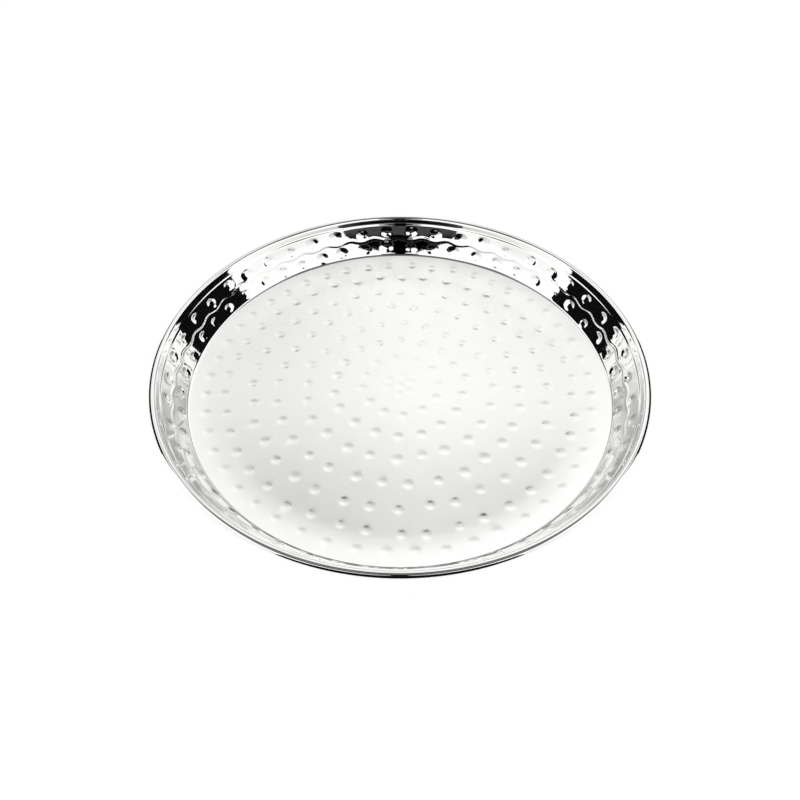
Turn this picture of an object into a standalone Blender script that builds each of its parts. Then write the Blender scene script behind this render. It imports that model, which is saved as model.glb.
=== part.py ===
# Hammered steel serving plate: one round pressed sheet with a flat floor, a rising wall and
# an edge rolled outwards over a core wire. Metres, +Z up. The origin is on the table, under
# the middle of the plate.

import math

import bpy
from mathutils import Vector
from mathutils.geometry import delaunay_2d_cdt

# Overall sizes
OUTER_DIAMETER = 0.305
OVERALL_HEIGHT = 0.0272
SHEET_THICKNESS = 0.0008

# Floor: flat on the table, with an edge that turns up in a shallow sweep before the corner
WALL_SPREAD = 0.0191          # how far the wall and rim reach out past the floor
FLOOR_EDGE_WIDTH = 0.0234     # width of the band that turns up
FLOOR_EDGE_RISE = 0.00295

# Wall and rolled rim, measured on the inside face of the sheet
CORNER_RADIUS = 0.002
WALL_SWEEP_RADIUS = 0.150
CURL_RADIUS = 0.0024
CURL_PAST_TOP = math.radians(180)   # how far the curl turns after the top of the rim

# Core wire inside the rolled rim
WIRE_CLEARANCE = 0.0003
WIRE_END_GAP = 0.0012

# Hammer marks on the floor: rings that gain six marks each, and one ring along the edge. They
# are sunk into the inside face only, so the underside stays flat.
FLOOR_DENT_RADIUS = 0.0028
FLOOR_DENT_DEPTH = 0.00035
FIRST_RING_RADIUS = 0.0074
RING_STEP = 0.0174
DENTS_ADDED_PER_RING = 6
EDGE_RING_INSET = 0.0104      # from the edge ring of marks to the edge of the floor
DENT_STAGGER = math.radians(137.5)

# Hammer marks on the wall: two rows, which show outside as bumps
WALL_DENT_RADIUS = 0.0044
WALL_DENT_DEPTH = 0.0008
WALL_DENT_PITCH = 0.0178
LOWER_ROW_RISE = 0.0050       # from the foot of the wall to the lower row, along the sheet
UPPER_ROW_RISE = 0.0164

# Facets
ROUND_SEGMENTS = 64
CORNER_STEPS = 2
WALL_STEPS = 1                # the hammer marks give the wall its other points
CURL_RISE_STEPS = 2
CURL_FALL_STEPS = 6
FLOOR_DENT_SIDES = 5
WALL_DENT_SIDES = 6
WIRE_BEVEL_RESOLUTION = 2
SHARP_ANGLE = math.radians(40)
MERGE_DISTANCE = 1e-6

# Derived places
RIM_RADIUS = OUTER_DIAMETER / 2 - CURL_RADIUS
RIM_HEIGHT = OVERALL_HEIGHT - CURL_RADIUS
FLOOR_RADIUS = OUTER_DIAMETER / 2 - WALL_SPREAD
FLAT_RADIUS = FLOOR_RADIUS - FLOOR_EDGE_WIDTH
WIRE_RADIUS = CURL_RADIUS - SHEET_THICKNESS - WIRE_CLEARANCE


def clear_scene():
    for item in list(bpy.data.objects):
        bpy.data.objects.remove(item, do_unlink=True)


def new_collection(name):
    collection = bpy.data.collections.new(name)
    bpy.context.scene.collection.children.link(collection)
    return collection


def steel(name, colour, roughness):
    material = bpy.data.materials.new(name)
    material.use_nodes = True
    shader = material.node_tree.nodes["Principled BSDF"]
    shader.inputs["Base Color"].default_value = (*colour, 1.0)
    shader.inputs["Metallic"].default_value = 1.0
    shader.inputs["Roughness"].default_value = roughness
    return material


def direction(angle):
    return Vector((math.cos(angle), math.sin(angle)))


def wall_sweep_centre(corner_centre, curl_centre):
    """The centre of the arc that holds the corner arc inside it and the curl outside it."""
    to_corner = WALL_SWEEP_RADIUS - CORNER_RADIUS
    to_curl = WALL_SWEEP_RADIUS + CURL_RADIUS
    between = curl_centre - corner_centre
    span = between.length
    along = (to_corner**2 - to_curl**2 + span**2) / (2 * span)
    across = math.sqrt(to_corner**2 - along**2)
    forward = between / span
    inward = Vector((-forward.y, forward.x))
    return corner_centre + forward * along + inward * across


def floor_at(radius):
    """The inside face of the floor and its normal; the edge rises as the square of its width."""
    share = max(radius - FLAT_RADIUS, 0.0) / FLOOR_EDGE_WIDTH
    slope = math.atan(2 * FLOOR_EDGE_RISE * share / FLOOR_EDGE_WIDTH)
    return Vector((radius, SHEET_THICKNESS + FLOOR_EDGE_RISE * share**2)), direction(math.pi / 2 + slope)


def profile_arcs():
    """Arcs of the inside face from the floor's edge outwards, in radius and height.

    Each is (centre, signed radius, first normal angle, last normal angle). The radius is
    negative where the centre is on the inside, as in the corner and the wall.
    """
    floor_edge, edge_normal = floor_at(FLOOR_RADIUS)
    corner_centre = floor_edge + edge_normal * CORNER_RADIUS
    curl_centre = Vector((RIM_RADIUS, RIM_HEIGHT))
    sweep_centre = wall_sweep_centre(corner_centre, curl_centre)
    to_corner = sweep_centre - corner_centre
    to_curl = sweep_centre - curl_centre
    upright = math.pi / 2
    wall_start = math.atan2(to_corner.y, to_corner.x)
    wall_end = math.atan2(to_curl.y, to_curl.x)
    return [
        (corner_centre, -CORNER_RADIUS, math.atan2(edge_normal.y, edge_normal.x), wall_start),
        (sweep_centre, -WALL_SWEEP_RADIUS, wall_start, wall_end),
        (curl_centre, CURL_RADIUS, wall_end, upright),
        (curl_centre, CURL_RADIUS, upright, upright - CURL_PAST_TOP),
    ]


def arc_length(arc):
    return abs(arc[1] * (arc[3] - arc[2]))


def profile_at(arcs, distance):
    """The inside face and its normal, at a distance from the middle along the sheet."""
    if distance <= FLOOR_RADIUS:
        return floor_at(distance)
    left = distance - FLOOR_RADIUS
    for arc in arcs[:-1]:
        if left <= arc_length(arc):
            break
        left -= arc_length(arc)
    else:
        arc = arcs[-1]
    centre, radius, first, last = arc
    angle = first + (last - first) * min(left / arc_length(arc), 1.0)
    return centre + direction(angle) * radius, direction(angle)


class Blank:
    """The flat round blank: points in its plane, how far each is hammered, and fixed edges.

    The marks have a depth on the inside face, and the bumps have a height on the outside.
    """

    def __init__(self):
        self.points = []
        self.depths = []
        self.bumps = []
        self.edges = []

    def add_point(self, place, depth=0.0, bump=0.0):
        self.points.append(place)
        self.depths.append(depth)
        self.bumps.append(bump)

    def add_ring(self, distance):
        first = len(self.points)
        for step in range(ROUND_SEGMENTS):
            self.add_point(direction(math.tau * step / ROUND_SEGMENTS) * distance)
            self.edges.append((first + step, first + (step + 1) % ROUND_SEGMENTS))

    def add_dent(self, distance, angle, radius, depth, bump, sides):
        middle = direction(angle) * distance
        self.add_point(middle, depth, bump)
        for side in range(sides):
            self.add_point(middle + direction(angle + math.tau * side / sides) * radius)

    def add_dent_ring(self, distance, count, first_angle, *dent):
        for mark in range(count):
            self.add_dent(distance, first_angle + math.tau * mark / count, *dent)


def hammer_floor(blank):
    edge_ring = FLOOR_RADIUS - EDGE_RING_INSET
    floor_dent = (FLOOR_DENT_RADIUS, FLOOR_DENT_DEPTH, 0.0, FLOOR_DENT_SIDES)
    blank.add_dent(0.0, 0.0, *floor_dent)
    count = 0
    distance = FIRST_RING_RADIUS
    while edge_ring - distance > RING_STEP / 2:
        count += DENTS_ADDED_PER_RING
        blank.add_dent_ring(distance, count, DENT_STAGGER * count, *floor_dent)
        distance += RING_STEP
    count += DENTS_ADDED_PER_RING
    blank.add_dent_ring(edge_ring, count, DENT_STAGGER * count, *floor_dent)


def hammer_wall(blank, arcs):
    wall_from = FLOOR_RADIUS + arc_length(arcs[0])
    wall_dent = (WALL_DENT_RADIUS, WALL_DENT_DEPTH, WALL_DENT_DEPTH, WALL_DENT_SIDES)
    count = round(math.tau * (FLOOR_RADIUS + WALL_SPREAD / 2) / WALL_DENT_PITCH)
    half_step = math.pi / count
    blank.add_dent_ring(wall_from + LOWER_ROW_RISE, count, 0.0, *wall_dent)
    blank.add_dent_ring(wall_from + UPPER_ROW_RISE, count, half_step, *wall_dent)


def hammered_blank(arcs):
    """The blank with its hammer marks and the rings where the sheet bends."""
    blank = Blank()
    hammer_floor(blank)
    hammer_wall(blank, arcs)
    blank.add_ring(FLAT_RADIUS)
    blank.add_ring(FLAT_RADIUS + FLOOR_EDGE_WIDTH / 2)
    blank.add_ring(FLOOR_RADIUS)
    distance = FLOOR_RADIUS
    arc_steps = (CORNER_STEPS, WALL_STEPS, CURL_RISE_STEPS, CURL_FALL_STEPS)
    for arc, steps in zip(arcs, arc_steps):
        for step in range(steps):
            distance += arc_length(arc) / steps
            blank.add_ring(distance)
    return blank


def skin(points, pushes, below, arcs):
    """One face of the sheet: the blank's points carried up the profile, this far below it."""
    places = []
    for flat, push in zip(points, pushes):
        place, normal = profile_at(arcs, flat.length)
        place = place - normal * (push + below)
        around = flat.normalized() if flat.length else Vector((1.0, 0.0))
        places.append((around.x * place.x, around.y * place.x, place.y))
    return places


def make_dish(collection):
    """Both faces of the hammered sheet, closed by a strip along the edge of the curl."""
    arcs = profile_arcs()
    blank = hammered_blank(arcs)
    joined = delaunay_2d_cdt(blank.points, blank.edges, [], 0, MERGE_DISTANCE)
    triangles = [tuple(face) for face in joined[2]]
    count = len(blank.points)
    faces = triangles + [tuple(count + corner for corner in reversed(face)) for face in triangles]
    edge = list(range(count - ROUND_SEGMENTS, count))
    for here, there in zip(edge, edge[1:] + edge[:1]):
        faces.append((there, here, count + here, count + there))
    mesh = bpy.data.meshes.new("dish")
    inside = skin(blank.points, blank.depths, 0.0, arcs)
    outside = skin(blank.points, blank.bumps, SHEET_THICKNESS, arcs)
    mesh.from_pydata(inside + outside, [], faces)
    mesh.shade_smooth()
    mesh.set_sharp_from_angle(angle=SHARP_ANGLE)
    mesh.materials.append(steel("polished_hammered_steel", (0.78, 0.78, 0.77), 0.16))
    dish = bpy.data.objects.new("dish", mesh)
    collection.objects.link(dish)


def make_rim_wire(collection):
    """A round wire bent to a ring, with its two cut ends butted at the back."""
    curve = bpy.data.curves.new("rim_wire", "CURVE")
    curve.dimensions = "3D"
    curve.bevel_depth = WIRE_RADIUS
    curve.bevel_resolution = WIRE_BEVEL_RESOLUTION
    curve.use_fill_caps = True
    spline = curve.splines.new("POLY")
    spline.points.add(ROUND_SEGMENTS)
    gap = WIRE_END_GAP / RIM_RADIUS
    for step, point in enumerate(spline.points):
        angle = math.pi / 2 + gap / 2 + (math.tau - gap) * step / ROUND_SEGMENTS
        point.co = (RIM_RADIUS * math.cos(angle), RIM_RADIUS * math.sin(angle), RIM_HEIGHT, 1.0)
    spline.use_smooth = True
    curve.materials.append(steel("drawn_steel_wire", (0.55, 0.55, 0.55), 0.35))
    wire = bpy.data.objects.new("rim_wire", curve)
    collection.objects.link(wire)


clear_scene()
plate = new_collection("hammered_serving_plate")
make_dish(plate)
make_rim_wire(plate)
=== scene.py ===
import math

import bpy
import numpy as np
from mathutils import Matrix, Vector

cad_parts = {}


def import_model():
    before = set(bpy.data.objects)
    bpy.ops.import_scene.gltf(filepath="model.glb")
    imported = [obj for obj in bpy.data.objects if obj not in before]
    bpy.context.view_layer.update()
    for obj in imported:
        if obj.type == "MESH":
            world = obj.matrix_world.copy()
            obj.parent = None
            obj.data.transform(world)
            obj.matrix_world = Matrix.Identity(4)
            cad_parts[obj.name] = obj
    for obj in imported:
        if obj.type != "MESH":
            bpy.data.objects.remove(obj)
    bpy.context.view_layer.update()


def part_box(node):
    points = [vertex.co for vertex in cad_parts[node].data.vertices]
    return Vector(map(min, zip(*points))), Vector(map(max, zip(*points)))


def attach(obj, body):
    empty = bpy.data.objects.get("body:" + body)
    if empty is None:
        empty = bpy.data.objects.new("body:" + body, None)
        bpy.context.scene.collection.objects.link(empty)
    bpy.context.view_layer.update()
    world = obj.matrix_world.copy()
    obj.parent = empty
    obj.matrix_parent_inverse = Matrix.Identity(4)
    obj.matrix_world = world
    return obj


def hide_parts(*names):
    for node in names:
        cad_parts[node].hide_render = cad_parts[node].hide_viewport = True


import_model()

dishLow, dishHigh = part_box("dish")
wireLow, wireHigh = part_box("rim_wire")
plateRadius = (dishHigh.x - dishLow.x) / 2
plateHeight = dishHigh.z
print("frame loaded, plate", round(plateRadius * 2000, 1), "x", round(plateHeight * 1000, 1), "mm")

# the hammered dish: its section is given by the slope of the inside face along the sheet
dishForm = {
    "sheet": 0.0008,
    "wallSpread": 0.0196,       # how far wall and lip reach out past the floor
    "riseFrom": 0.110,          # radius where the floor starts to turn up
    "riseAngle": 13.3,          # degrees, its slope where the corner starts
    "cornerRadius": 0.0030,
    "wallTurn": 5.0,            # degrees, how much steeper the wall's head is than its foot
    "ledgeAngle": 43.0,         # the wall turns out in a small ledge under the neck
    "ledge": (0.0005, 0.00045, 0.0006),   # lengths of its bend, tread and upturn
    "neckAngle": 61.5,
    "neckLength": 0.0031,
    "lipRadius": 0.0024,
    "lipEnd": -90.0,            # where the rolled lip stops under itself
    "rounds": 20,               # how often the wall's slope is worked out again
}

# a low ridge runs round the wall between the two rows of marks
wallRidge = {
    "share": 0.53,              # of the way up the wall
    "height": 0.00022,
    "half": 0.0012,
    "wave": 0.0009,             # it swings round the upper marks
}

# distance from the middle, number of marks, degrees of the first mark, share of the depth
floorMarks = {
    "rings": [(0.0078, 6, 21.0, 0.35), (0.0248, 12, 5.3, 0.7), (0.0419, 18, 8.2, 1.0),
              (0.0596, 24, 12.5, 1.0), (0.0778, 30, 10.1, 1.0), (0.0947, 36, 9.6, 1.0),
              (0.1112, 42, 3.7, 0.95), (0.1230, 48, 4.0, 0.9)],
    "middle": 0.35,             # share of the depth of the one in the middle
    "radius": 0.0034,
    "depth": 0.00034,
    "bowl": 1.2,                # 1 is a hollow with a crisp rim, 2 a hollow with a soft one
    "flat": 1.0,
    "scatter": 0.0007,
    "vary": 0.10,               # how far their sizes differ
    "varyDepth": (0.8, 1.15),   # and their depths
    "seed": 11,
}

# share of the way up the wall, number of marks, degrees of the first mark
wallMarks = {
    "rows": [(0.20, 51, 2.1), (0.76, 48, 4.3)],
    "along": 0.0039,            # half width round the plate
    "across": 0.0036,           # half width up the wall
    "depth": 0.00042,
    "bowl": 1.3,
    "flat": 2.0,                # 1 is a round hollow, 2 one with a flatter bottom
    "scatter": 0.0007,
    "vary": 0.17,
    "varyDepth": (0.8, 1.15),
    "seed": 23,
    "backSize": 1.5,            # the bumps outside are wider and lower than the marks inside
    "backDepth": 0.5,
}

dishGrid = {
    "segments": 174,            # round the innermost band; twice and four times this further out
    "innerBand": 0.0305,
    "middleBand": 0.0690,
    "markStep": 0.00080,        # between rings of points across the floor marks
    "plainStep": 0.0026,        # and between the marks
    "edgeStep": 0.0003,         # a ring close to the edge keeps the floor flat up to it
    "cornerStep": 0.00050,
    "wallStep": 0.00062,
    "ledgeStep": 0.00026,
    "lipStep": 0.00080,
    "backWallStep": 0.0020,
    "backLipStep": 0.0013,
    "backFloorStep": 0.0090,
}


def smoothStep(x):
    # 0 below 0, 1 above 1, and 3x squared less 2x cubed between
    x = np.clip(x, 0.0, 1.0)
    return x * x * (3.0 - 2.0 * x)


def meanRun(first, last):
    # how far a sheet goes out and up for its length while its slope turns evenly: the means of
    # the cosine and of the sine between the two slopes
    turn = last - first
    if abs(turn) < 1e-9:
        return np.array([math.cos(first), math.sin(first)])
    return np.array([math.sin(last) - math.sin(first), math.cos(first) - math.cos(last)]) / turn


def sectionRuns():
    # (length, first slope, last slope) from the middle to the edge of the curl; the wall takes the
    # slope and the length that bring the lip to the plate's full width and height
    form = dishForm
    rise, turn, ledge, neck, end = (math.radians(form[name]) for name in (
        "riseAngle", "wallTurn", "ledgeAngle", "neckAngle", "lipEnd"))
    bend, tread, upturn = form["ledge"]
    lip = form["lipRadius"]
    floorRadius = plateRadius - form["wallSpread"]
    goal = np.array([plateRadius - lip - lip * math.sin(neck),
                     plateHeight - lip + lip * math.cos(neck) - form["sheet"]])
    slope, length = neck, 0.0                       # a first guess
    for attempt in range(form["rounds"]):
        foot, head = slope - turn / 2, slope + turn / 2
        below = [(form["riseFrom"], 0.0, 0.0), (floorRadius - form["riseFrom"], 0.0, rise),
                 (form["cornerRadius"] * (foot - rise), rise, foot)]
        above = [(bend, head, ledge), (tread, ledge, ledge), (upturn, ledge, neck),
                 (form["neckLength"], neck, neck)]
        left = goal - sum(run * meanRun(first, last) for run, first, last in below + above)
        slope = math.atan2(left[1], left[0])
        length = np.linalg.norm(left) / np.linalg.norm(meanRun(foot, head))
    print("wall", round(length * 1000, 2), "mm at", round(math.degrees(slope), 1), "degrees")
    return below + [(length, foot, head)] + above + [(lip * (neck - end), neck, end)]


runs = sectionRuns()
knots = np.concatenate([[0.0], np.cumsum([length for length, first, last in runs])])
floorRadius, wallFrom, wallTo = knots[2:5]
neckFrom, lipFrom, sheetEnd = knots[7:10]           # 5 and 6 are inside the ledge


def sectionAt(s):
    # run by run: the start of the run plus its length so far times the mean direction so far
    r, z, turn = np.zeros_like(s), np.full_like(s, dishForm["sheet"]), np.zeros_like(s)
    for start, (length, first, last) in zip(knots, runs):
        gone = np.clip(s - start, 0.0, length)
        now = first + (last - first) * gone / length
        half = (now - first) / 2
        chord = gone * np.sinc(half / math.pi)      # an arc's chord: length times sin(h) over h
        r += chord * np.cos(first + half)
        z += chord * np.sin(first + half)
        turn = np.where(s > start, now, turn)
    return r, z, -np.sin(turn), np.cos(turn)


def markDepth(s, r, phi, ring, along, across, depth, marks, seed):
    # a bowl for each mark of the ring: depth times a power of (1 - x), where x is a power of the
    # squared distance from the mark's middle over its half widths; the deepest of three
    # neighbours counts
    distance, count, first = ring
    rng = np.random.default_rng(seed)
    step = 2 * math.pi / count
    offS = rng.normal(0.0, marks["scatter"], count)
    offT = rng.normal(0.0, marks["scatter"], count)
    size = rng.uniform(1.0 - marks["vary"], 1.0 + marks["vary"], count)
    deep = depth * rng.uniform(*marks["varyDepth"], count)
    nearest = np.rint((phi - first) / step).astype(int)
    found = np.zeros_like(s)
    for side in (-1, 0, 1):
        mark = (nearest + side) % count
        turn = phi - first - (nearest + side) * step
        dt = (r * turn - offT[mark]) / (along * size[mark])
        ds = (s - distance - offS[mark]) / (across * size[mark])
        x = np.clip(1.0 - (dt * dt + ds * ds) ** marks["flat"], 0.0, None)
        found = np.maximum(found, deep[mark] * x ** marks["bowl"])
    return found


def floorDepth(s, r, phi):
    # the mark in the middle, the same bowl round the axis, and then ring after ring
    marks = floorMarks
    depth = np.clip(1.0 - (r / marks["radius"]) ** 2, 0.0, None) ** marks["bowl"]
    depth = depth * marks["depth"] * marks["middle"]
    for number, (distance, count, first, share) in enumerate(marks["rings"]):
        ring = (distance, count, math.radians(first))
        depth = np.maximum(depth, markDepth(s, r, phi, ring, marks["radius"], marks["radius"],
                                            marks["depth"] * share, marks, marks["seed"] + number))
    return depth


def wallDepth(s, r, phi, wider=1.0, lower=1.0):
    # both rows of bowls, less a smooth ridge whose crest waves with the upper row
    ridge, marks = wallRidge, wallMarks
    wallLength = wallTo - wallFrom
    depth = np.zeros_like(s)
    for number, (share, count, first) in enumerate(marks["rows"]):
        ring = (wallFrom + wallLength * share, count, math.radians(first))
        depth = np.maximum(depth, markDepth(
            s, r, phi, ring, marks["along"] * wider, marks["across"] * wider,
            marks["depth"] * lower, marks, marks["seed"] + number))
    upperCount, upperFirst = marks["rows"][-1][1:]
    wave = ridge["wave"] * np.cos(upperCount * (phi - math.radians(upperFirst)))
    crest = wallFrom + ridge["share"] * wallLength - wave
    return depth - ridge["height"] * smoothStep(1.0 - np.abs(s - crest) / ridge["half"])


def dishPoints(s, phi, below, back):
    # the section turned round the axis, pushed along its normal by the hammer and the sheet
    r, z, nr, nz = sectionAt(s)
    if back:
        push = below + wallDepth(s, r, phi, wallMarks["backSize"], wallMarks["backDepth"])
    else:
        push = below + floorDepth(s, r, phi) + wallDepth(s, r, phi)
    r = r - nr * push
    z = np.maximum(z - nz * push, 0.0)              # nothing goes below the table
    return np.stack([r * np.cos(phi), r * np.sin(phi), z], axis=-1)


def evenRows(start, stop, step):
    # even steps from start, which is left out, to stop, each as near to step as it divides
    count = max(1, int(round(abs(stop - start) / step)))
    return list(np.linspace(start, stop, count + 1)[1:])


def floorRows():
    # rings of points from the middle out to floorRadius, close together across the marks only
    grid, marks = dishGrid, floorMarks
    reach = marks["radius"] + marks["scatter"]
    rows, here = [], 0.0
    for middle in [0.0] + [ring[0] for ring in marks["rings"]]:
        low, high = max(middle - reach, 0.0), middle + reach
        if low > here:
            rows += evenRows(here, low, grid["plainStep"])
            here = low
        rows += evenRows(here, high, grid["markStep"])
        here = high
    edge = floorRadius - grid["edgeStep"]
    return rows + evenRows(here, edge, grid["plainStep"]) + [floorRadius]


def frontRows():
    # (distance along the section, segments) of each ring of points, middle to the curl's edge
    grid = dishGrid
    n = grid["segments"]
    rows = []
    for s in floorRows():
        rows.append((s, n if s < grid["innerBand"] else 2 * n if s < grid["middleBand"] else 4 * n))
    rows += [(s, 4 * n) for s in evenRows(floorRadius, wallFrom, grid["cornerStep"])]
    rows += [(s, 4 * n) for s in evenRows(wallFrom, wallTo, grid["wallStep"])]
    rows += [(s, 4 * n) for s in evenRows(wallTo, neckFrom, grid["ledgeStep"])]
    rows += [(s, 2 * n) for s in evenRows(neckFrom, lipFrom, grid["lipStep"])]
    rows += [(s, 2 * n) for s in evenRows(lipFrom, sheetEnd, grid["lipStep"])]
    return rows


def backRows():
    # the same from the curl's edge back under to the middle
    grid = dishGrid
    n = grid["segments"]
    rows = [(sheetEnd, 2 * n)]
    rows += [(s, 2 * n) for s in evenRows(sheetEnd, lipFrom, grid["backLipStep"])]
    rows += [(s, 2 * n) for s in evenRows(lipFrom, wallTo, grid["backLipStep"])]
    rows += [(s, 2 * n) for s in evenRows(wallTo, wallFrom, grid["backWallStep"])]
    rows += [(s, n) for s in evenRows(wallFrom, floorRadius, grid["cornerStep"] * 2)]
    return rows + [(s, n) for s in evenRows(floorRadius, 0.0, grid["backFloorStep"])[:-1]]


def stitch(first, firstCount, second, secondCount):
    # faces between two rings of points; where one has twice the points of the other, each long
    # edge meets two short ones in three triangles
    i = np.arange(firstCount)
    j = (i + 1) % firstCount
    if firstCount == secondCount:
        return [np.stack([first + i, second + i, second + j, first + j], axis=1)]
    if secondCount == 2 * firstCount:
        a, b, c = 2 * i, 2 * i + 1, (2 * i + 2) % secondCount
        return [np.stack([first + i, second + a, second + b], axis=1),
                np.stack([first + i, second + b, first + j], axis=1),
                np.stack([first + j, second + b, second + c], axis=1)]
    return [faces[:, ::-1] for faces in stitch(second, secondCount, first, firstCount)]


def ringPoints(rows, below, back):
    s = np.concatenate([np.full(count, distance) for distance, count in rows])
    phi = np.concatenate([np.arange(count) * 2 * math.pi / count for distance, count in rows])
    return dishPoints(s, phi, below, back)


def meshPiece(name, points, faceSets):
    # puts points and sets of triangles, squares or caps into a smooth mesh
    mesh = bpy.data.meshes.new(name)
    loops = np.concatenate([faces.ravel() for faces in faceSets]).astype(np.int32)
    sizes = np.concatenate([np.full(len(faces), faces.shape[1]) for faces in faceSets])
    sizes = sizes.astype(np.int32)
    mesh.vertices.add(len(points))
    mesh.vertices.foreach_set("co", points.astype(np.float32).ravel())
    mesh.loops.add(len(loops))
    mesh.loops.foreach_set("vertex_index", loops)
    mesh.polygons.add(len(sizes))
    mesh.polygons.foreach_set("loop_start", (np.cumsum(sizes) - sizes).astype(np.int32))
    mesh.update(calc_edges=True)
    mesh.validate()
    mesh.shade_smooth()
    piece = bpy.data.objects.new(name, mesh)
    bpy.context.scene.collection.objects.link(piece)
    print(name, len(points), "points", int((sizes - 2).sum()), "triangles")
    return piece


def makeDish():
    # ring after ring of points, out over the front and back under, with a point at each middle
    front, back = frontRows(), backRows()
    middle, sheet = np.zeros(1), dishForm["sheet"]
    points = np.concatenate([
        dishPoints(middle, middle, 0.0, False), ringPoints(front, 0.0, False),
        ringPoints(back, sheet, True), dishPoints(middle, middle, sheet, True)])
    counts = [count for distance, count in front + back]
    starts = 1 + np.concatenate([[0], np.cumsum(counts)])
    ring = np.arange(counts[0])
    faces = [np.stack([np.zeros_like(ring), 1 + ring, 1 + (ring + 1) % counts[0]], axis=1)]
    for k in range(len(counts) - 1):
        faces += stitch(starts[k], counts[k], starts[k + 1], counts[k + 1])
    ring = np.arange(counts[-1])
    under = np.full_like(ring, len(points) - 1)
    faces += [np.stack([starts[-2] + ring, under, starts[-2] + (ring + 1) % counts[-1]], axis=1)]
    return meshPiece("hammeredDish", points, faces)


dish = makeDish()

# the core wire in the lip
wireForm = {
    "segments": 360,
    "sides": 14,
    "gap": 0.0012,              # between the cut ends, at the back
}


def makeWire():
    # a circle carried round the axis: ring radius plus wire radius times the circle's direction
    form = wireForm
    wireRadius = (wireHigh.z - wireLow.z) / 2
    ringRadius = wireHigh.x - wireRadius
    gap = form["gap"] / ringRadius
    u = math.pi / 2 + gap / 2 + (2 * math.pi - gap) * np.linspace(0.0, 1.0, form["segments"] + 1)
    v = 2 * math.pi * np.arange(form["sides"]) / form["sides"]
    u, v = np.meshgrid(u, v, indexing="ij")
    r = ringRadius + wireRadius * np.cos(v)
    z = (wireHigh.z + wireLow.z) / 2 + wireRadius * np.sin(v)
    points = np.stack([r * np.cos(u), r * np.sin(u), z], axis=-1).reshape(-1, 3)
    n = form["sides"]
    i, j = np.meshgrid(np.arange(form["segments"]), np.arange(n), indexing="ij")
    k = (j + 1) % n
    sides = np.stack([i * n + j, (i + 1) * n + j, (i + 1) * n + k, i * n + k], axis=-1)
    sides = sides.reshape(-1, 4)
    caps = np.stack([np.arange(n), form["segments"] * n + np.arange(n)[::-1]])
    return meshPiece("lipWire", points, [sides[:, ::-1], caps])


wire = makeWire()


def newMaterial(name):
    material = bpy.data.materials.new(name)
    material.use_nodes = True
    tree = material.node_tree
    return material, tree, tree.nodes["Principled BSDF"]


def plug(tree, socket, value):
    # a link where the value is another node's output, and a plain setting where it isn't
    if isinstance(value, bpy.types.NodeSocket):
        tree.links.new(value, socket)
    else:
        socket.default_value = value


def addNode(tree, kind, *values, **named):
    node = tree.nodes.new(kind)
    for socket, value in zip(node.inputs, values):
        plug(tree, socket, value)
    for name, value in named.items():
        plug(tree, node.inputs[name], value)
    return node


def mathNode(tree, operation, *values):
    node = addNode(tree, "ShaderNodeMath", *values)
    node.operation = operation
    return node.outputs[0]


def rangeNode(tree, value, low, high, toLow=0.0, toHigh=1.0, soft=True):
    node = addNode(tree, "ShaderNodeMapRange", value, low, high, toLow, toHigh)
    node.interpolation_type = "SMOOTHSTEP" if soft else "LINEAR"
    return node.outputs[0]


def stepsNode(tree, value, table):
    # straight lines from point to point of the table, or the plain number of its only point
    result = table[0][1]
    for (here, now), (there, then) in zip(table, table[1:]):
        rise = rangeNode(tree, value, here, there, 0.0, then - now, soft=False)
        result = mathNode(tree, "ADD", result, rise)
    return result


def noiseNode(tree, place, scale, detail):
    node = addNode(tree, "ShaderNodeTexNoise", Vector=place, Scale=scale, Detail=detail)
    return node.outputs["Fac"]


def radiusNode(tree, x, y):
    # the root of x squared plus y squared
    squares = [mathNode(tree, "POWER", side, 2.0) for side in (x, y)]
    return mathNode(tree, "SQRT", mathNode(tree, "ADD", *squares))


def toneNode(tree, share, finish):
    # from the dull colour to the bright one
    node = addNode(tree, "ShaderNodeMix", share)
    node.data_type = "RGBA"
    dull, bright = [socket for socket in node.inputs if socket.type == "RGBA"]
    plug(tree, dull, finish["dull"])
    plug(tree, bright, finish["bright"])
    return [socket for socket in node.outputs if socket.type == "RGBA"][0]


def bumpNode(tree, bump, height):
    strength, distance = bump
    node = addNode(tree, "ShaderNodeBump", Strength=strength, Distance=distance, Height=height)
    return node.outputs[0]


steelFinish = {
    "bright": (0.935, 0.938, 0.925, 1.0),
    "dull": (0.905, 0.908, 0.893, 1.0),
    "toneSpan": (0.32, 0.68),   # the part of the clouding where dull turns bright
    "satin": (0.15, 0.25),      # roughness of the floor, from its near side to its hazy far side
    "haze": (-0.05, 0.05),      # where it changes, in Y
    "mirror": 0.030,            # roughness of the wall and the lip
    "satinEdge": (0.1324, 0.1332),   # distance from the axis where satin turns to mirror
    "cloud": (55.0, 4.0),       # scale and detail of the wheel's soft patches, about 18 mm
    "cloudSpan": (0.3, 0.7),
    "cloudRough": (0.85, 1.15),   # what the patches do to the roughness
    "grain": (700.0, 3.0),      # fine grain of the satin floor, about 1.4 mm
    "grainRough": 0.05,
    "grainHeight": 0.12,        # beside the slow waves
    "peel": (160.0, 1.0),       # slow waves in the polished sheet, about 6 mm
    "bump": (0.30, 0.00006),    # strength, height
}


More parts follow.
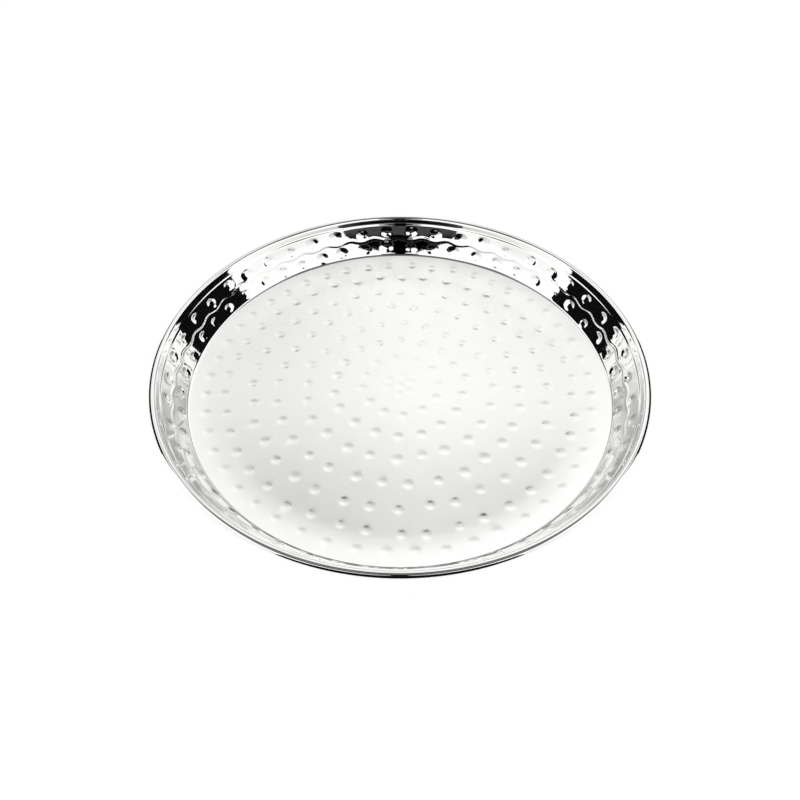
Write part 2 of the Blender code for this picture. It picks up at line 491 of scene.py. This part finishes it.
def makeSteel():
    finish = steelFinish
    material, tree, shader = newMaterial("hammeredSteel")
    place = addNode(tree, "ShaderNodeTexCoord").outputs["Object"]
    x, y = addNode(tree, "ShaderNodeSeparateXYZ", place).outputs[:2]
    satin = rangeNode(tree, radiusNode(tree, x, y), *finish["satinEdge"], 1.0, 0.0)
    cloud, grain, peel = (noiseNode(tree, place, *finish[name]) for name in (
        "cloud", "grain", "peel"))

    # roughness: mirror to satin, clouded a little, with the grain on the floor only
    floorRough = rangeNode(tree, y, *finish["haze"], *finish["satin"])
    base = rangeNode(tree, satin, 0.0, 1.0, finish["mirror"], floorRough, soft=False)
    clouding = rangeNode(tree, cloud, *finish["cloudSpan"], *finish["cloudRough"])
    clouded = mathNode(tree, "MULTIPLY", base, clouding)
    grainRough = mathNode(tree, "MULTIPLY", satin, finish["grainRough"])
    offMean = mathNode(tree, "SUBTRACT", grain, 0.5)
    grained = mathNode(tree, "MULTIPLY_ADD", grainRough, offMean, clouded)
    plug(tree, shader.inputs["Roughness"], grained)
    plug(tree, shader.inputs["Base Color"],
         toneNode(tree, rangeNode(tree, cloud, *finish["toneSpan"]), finish))

    # bump: grain on the floor, and slow waves all over
    grainHeight = mathNode(tree, "MULTIPLY", satin, finish["grainHeight"])
    height = mathNode(tree, "MULTIPLY_ADD", grainHeight, grain, peel)
    plug(tree, shader.inputs["Normal"], bumpNode(tree, finish["bump"], height))
    shader.inputs["Metallic"].default_value = 1.0
    return material


wireFinish = {
    "bright": (0.62, 0.62, 0.61, 1.0),
    "dull": (0.46, 0.46, 0.45, 1.0),
    "toneSpan": (0.3, 0.7),
    "lines": 2600.0,            # drawing lines across the wire, for each metre
    "length": 40.0,             # how slowly they change along it
    "detail": 3.0,
    "roughSpan": (0.2, 0.8),
    "rough": (0.42, 0.28),
    "bump": (0.4, 0.00003),     # strength, height
}


def makeWireSteel():
    # drawing lines: noise that is fine across the wire and slow along its ring
    finish = wireFinish
    material, tree, shader = newMaterial("drawnWireSteel")
    place = addNode(tree, "ShaderNodeTexCoord").outputs["Object"]
    x, y, z = addNode(tree, "ShaderNodeSeparateXYZ", place).outputs
    along = mathNode(tree, "MULTIPLY", mathNode(tree, "ARCTAN2", y, x), finish["length"])
    outwards, upwards = (mathNode(tree, "MULTIPLY", side, finish["lines"]) for side in (
        radiusNode(tree, x, y), z))
    across = addNode(tree, "ShaderNodeCombineXYZ", along, outwards, upwards).outputs[0]
    lines = noiseNode(tree, across, 1.0, finish["detail"])
    plug(tree, shader.inputs["Base Color"],
         toneNode(tree, rangeNode(tree, lines, *finish["toneSpan"]), finish))
    plug(tree, shader.inputs["Roughness"],
         rangeNode(tree, lines, *finish["roughSpan"], *finish["rough"]))
    plug(tree, shader.inputs["Normal"], bumpNode(tree, finish["bump"], lines))
    shader.inputs["Metallic"].default_value = 1.0
    return material


dish.data.materials.append(makeSteel())
wire.data.materials.append(makeWireSteel())
for piece, node, slotName in ((dish, "dish", "hammered_steel"), (wire, "rim_wire", "steel_wire")):
    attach(piece, "root")
    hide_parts(node)
print("finishes made")

# soft white light all round, with grey and dark parts in it; bearings and heights in degrees,
# where the bearing is 0 to the right of the plate, 90 behind it and -90 on the camera's side
studio = {
    "white": 1.16,
    "dark": 0.004,
    "highBack": 0.34,           # share of the white high up behind
    "highBackBearing": (65.0, 45.0),   # off the back, from none of it to all of it
    "highBackHeight": (42.0, 50.0),
    # low down in front: bearing off the front, share of the white
    "lowFront": [(26.0, 0.22), (36.0, 0.50), (50.0, 0.72), (84.0, 1.0)],
    "lowFrontHeight": (26.0, 18.0),
    "grey": 0.32,               # share of the white on low panels behind, left and right
    "greyBearing": (42.0, 84.0),   # off straight left or right, towards the back
    # their lower edge: bearing, height
    "greyLow": [(48.0, 5.5), (53.0, 8.0), (58.0, 11.5), (66.0, 14.5), (84.0, 18.5)],
    "greyHigh": 33.0,
    "greySoft": (4.0, 2.0),     # how softly they end, in bearing and in height
    "roof": (70.5, 119.0),      # a dark strip overhead, from behind the plate to in front of it
    "roofSoft": 3.0,
    "roofHalf": (0.72, 0.55),   # its half width, as a share of the distance
    "roofMiddle": (83.0, 103.0),   # lighter between these
    "roofMiddleSoft": 2.0,
    "roofLight": 0.22,
    "horizon": 8.0,             # a dark band low down behind the plate
    "horizonSoft": 3.0,
    "horizonBearing": (36.0, 24.0),   # off the back, from none of it to all of it
}


def makeStudio():
    world = bpy.data.worlds.new("studio")
    bpy.context.scene.world = world
    world.use_nodes = True
    tree = world.node_tree
    background = tree.nodes["Background"]
    background.inputs["Color"].default_value = (1.0, 1.0, 1.0, 1.0)
    place = addNode(tree, "ShaderNodeTexCoord").outputs["Generated"]
    x, y, z = addNode(tree, "ShaderNodeSeparateXYZ", place).outputs
    bearing = mathNode(tree, "DEGREES", mathNode(tree, "ARCTAN2", y, x))
    height = mathNode(tree, "DEGREES", mathNode(tree, "ARCSINE", z))
    pitch = mathNode(tree, "DEGREES", mathNode(tree, "ARCTAN2", z, y))
    quarter = 90.0
    offFront = mathNode(tree, "ABSOLUTE", mathNode(tree, "ADD", bearing, quarter))
    offBack = mathNode(tree, "ABSOLUTE", mathNode(tree, "SUBTRACT", bearing, quarter))
    offSide = mathNode(tree, "SUBTRACT", quarter, offBack)

    def both(*masks):
        product = masks[0]
        for mask in masks[1:]:
            product = mathNode(tree, "MULTIPLY", product, mask)
        return product

    def past(value, edge, soft):
        # 0 below the edge and 1 above it, changing over the soft distance on either side
        return rangeNode(tree, value, edge - soft, edge + soft)

    def before(value, edge, soft):
        return rangeNode(tree, value, edge + soft, edge - soft)

    def between(value, low, high, soft):
        return both(past(value, low, soft), before(value, high, soft))

    def share(level, mask, part):
        # the level times part, inside the mask
        kept = rangeNode(tree, mask, 0.0, 1.0, 1.0, part, soft=False)
        return mathNode(tree, "MULTIPLY", level, kept)

    highBack = both(rangeNode(tree, offBack, *studio["highBackBearing"]),
                    rangeNode(tree, height, *studio["highBackHeight"]))
    level = share(studio["white"], highBack, studio["highBack"])

    lowFront = rangeNode(tree, height, *studio["lowFrontHeight"])
    level = share(level, lowFront, stepsNode(tree, offFront, studio["lowFront"]))

    bearingSoft, heightSoft = studio["greySoft"]
    above = mathNode(tree, "SUBTRACT", height, stepsNode(tree, offSide, studio["greyLow"]))
    grey = both(between(offSide, *studio["greyBearing"], bearingSoft),
                past(above, 0.0, heightSoft), before(height, studio["greyHigh"], heightSoft))
    level = share(level, grey, studio["grey"])

    middle = between(pitch, *studio["roofMiddle"], studio["roofMiddleSoft"])
    roof = both(between(pitch, *studio["roof"], studio["roofSoft"]),
                rangeNode(tree, mathNode(tree, "ABSOLUTE", x), *studio["roofHalf"]))
    level = share(level, roof, mathNode(tree, "MULTIPLY", middle, studio["roofLight"]))

    horizon = both(rangeNode(tree, offBack, *studio["horizonBearing"]),
                   before(height, studio["horizon"], studio["horizonSoft"]))
    level = mathNode(tree, "MAXIMUM", share(level, horizon, 0.0), studio["dark"])

    # the camera itself sees plain white
    seen = addNode(tree, "ShaderNodeLightPath").outputs["Is Camera Ray"]
    plug(tree, background.inputs["Strength"], mathNode(tree, "MAXIMUM", level, seen))


tableTop = {
    "side": 6.0,                # half of it
    "drop": 0.0002,             # below the plate, so that they don't share a plane
    "glow": 0.84,
    "lit": (0.27, 0.27, 0.27, 1.0),
}


def makeFloor():
    # a pale sheet that glows a little, so that it stays white up to the plate
    material, tree, shader = newMaterial("paleTable")
    tree.nodes.remove(shader)
    glow = addNode(tree, "ShaderNodeEmission", Strength=tableTop["glow"])
    lit = addNode(tree, "ShaderNodeBsdfDiffuse", tableTop["lit"])
    pale = addNode(tree, "ShaderNodeAddShader", glow.outputs[0], lit.outputs[0])
    plug(tree, tree.nodes["Material Output"].inputs["Surface"], pale.outputs[0])
    side, low = tableTop["side"], -tableTop["drop"]
    corners = np.array([[-side, -side, low], [side, -side, low],
                        [side, side, low], [-side, side, low]])
    floor = meshPiece("tableTop", corners, [np.array([[0, 1, 2, 3]])])
    floor.data.materials.append(material)


# cards that only the steel sees: a tall dark one behind the camera, a low dark one before the
# plate, a dark one at each side and a white one behind; each is a sheet between two rails, whose
# points are X, Y and Z, and glows as its tables say: height and brightness, X and share of it
frontCard = {
    "rails": [[(side * half, -0.40, height) for half, height in (
        (0.32, 0.0), (0.27, 0.25), (0.235, 0.308), (0.19, 0.325), (0.13, 0.338), (0.08, 0.350),
        (0.04, 0.366), (0.022, 0.385), (0.022, 0.43), (0.08, 0.47), (0.11, 0.80), (0.05, 0.95))]
        for side in (1, -1)],
    "fade": [(0.255, 0.0), (0.265, 0.06), (0.298, 0.06), (0.312, 0.0)],
}

lowCard = {
    "rails": [[(side * 0.17, -0.25, 0.0), (side * 0.17, -0.25, 0.125)] for side in (1, -1)],
    "fade": [(0.0, studio["dark"])],
}

rightCard = {
    "rails": [[(0.60, 0.02, 0.0), (0.60, 0.02, 0.12), (0.60, 0.02, 0.16), (0.60, 0.02, 0.40)],
              [(0.47, 0.36, 0.0), (0.47, 0.36, 0.12), (0.41, 0.47, 0.16), (0.41, 0.47, 0.42)]],
    "fade": [(0.0, studio["dark"])],
}

leftCard = dict(rightCard, rails=[[(-x, y, z) for x, y, z in rail] for rail in rightCard["rails"]])

backCard = {
    "rails": [[(side * 0.46, 0.55, 0.34), (side * 0.46, 0.55, 1.50)] for side in (1, -1)],
    "fade": [(0.58, 1.12), (0.72, 1.02), (0.885, 0.86), (1.065, 0.80), (1.50, 0.78)],
    "left": [(-0.20, 0.84), (0.04, 1.0), (0.30, 0.93)],
}


def makeCard(name, card):
    # squares from each step of the one rail to the same step of the other
    material, tree, shader = newMaterial(name)
    tree.nodes.remove(shader)
    place = addNode(tree, "ShaderNodeTexCoord").outputs["Object"]
    x, y, z = addNode(tree, "ShaderNodeSeparateXYZ", place).outputs
    level = stepsNode(tree, z, card["fade"])
    if "left" in card:
        level = mathNode(tree, "MULTIPLY", level, stepsNode(tree, x, card["left"]))
    glow = addNode(tree, "ShaderNodeEmission", Strength=level)
    plug(tree, tree.nodes["Material Output"].inputs["Surface"], glow.outputs[0])
    points = np.concatenate([np.array(rail) for rail in card["rails"]])
    count = len(card["rails"][0])
    i = np.arange(count - 1)
    piece = meshPiece(name, points, [np.stack([i, i + 1, count + i + 1, count + i], axis=1)])
    piece.data.materials.append(material)
    piece.visible_camera = piece.visible_diffuse = piece.visible_shadow = False


view = {
    "elevation": 46.6,          # degrees, from the middle of the floor
    "distance": 0.4890,
    "height": 0.0008,           # of the point that the elevation is measured from
    "lens": 34.18,
    "sensor": 36.0,
    "clip": 0.01,
    "drop": 1.09,               # degrees the camera looks below that point
}


def makeCamera():
    camera = bpy.data.cameras.new("camera")
    camera.lens = view["lens"]
    camera.sensor_width = view["sensor"]
    camera.clip_start = view["clip"]
    holder = bpy.data.objects.new("camera", camera)
    bpy.context.scene.collection.objects.link(holder)
    up = math.radians(view["elevation"])
    back, above = view["distance"] * math.cos(up), view["distance"] * math.sin(up)
    holder.location = (0.0, -back, view["height"] + above)
    holder.rotation_euler = (math.pi / 2 - up - math.radians(view["drop"]), 0.0, 0.0)
    bpy.context.scene.camera = holder


makeStudio()
makeFloor()
for name, card in (("frontCard", frontCard), ("lowCard", lowCard), ("rightCard", rightCard),
                   ("leftCard", leftCard), ("backCard", backCard)):
    makeCard(name, card)
makeCamera()
bpy.context.scene.view_settings.view_transform = "Standard"
print("studio made")
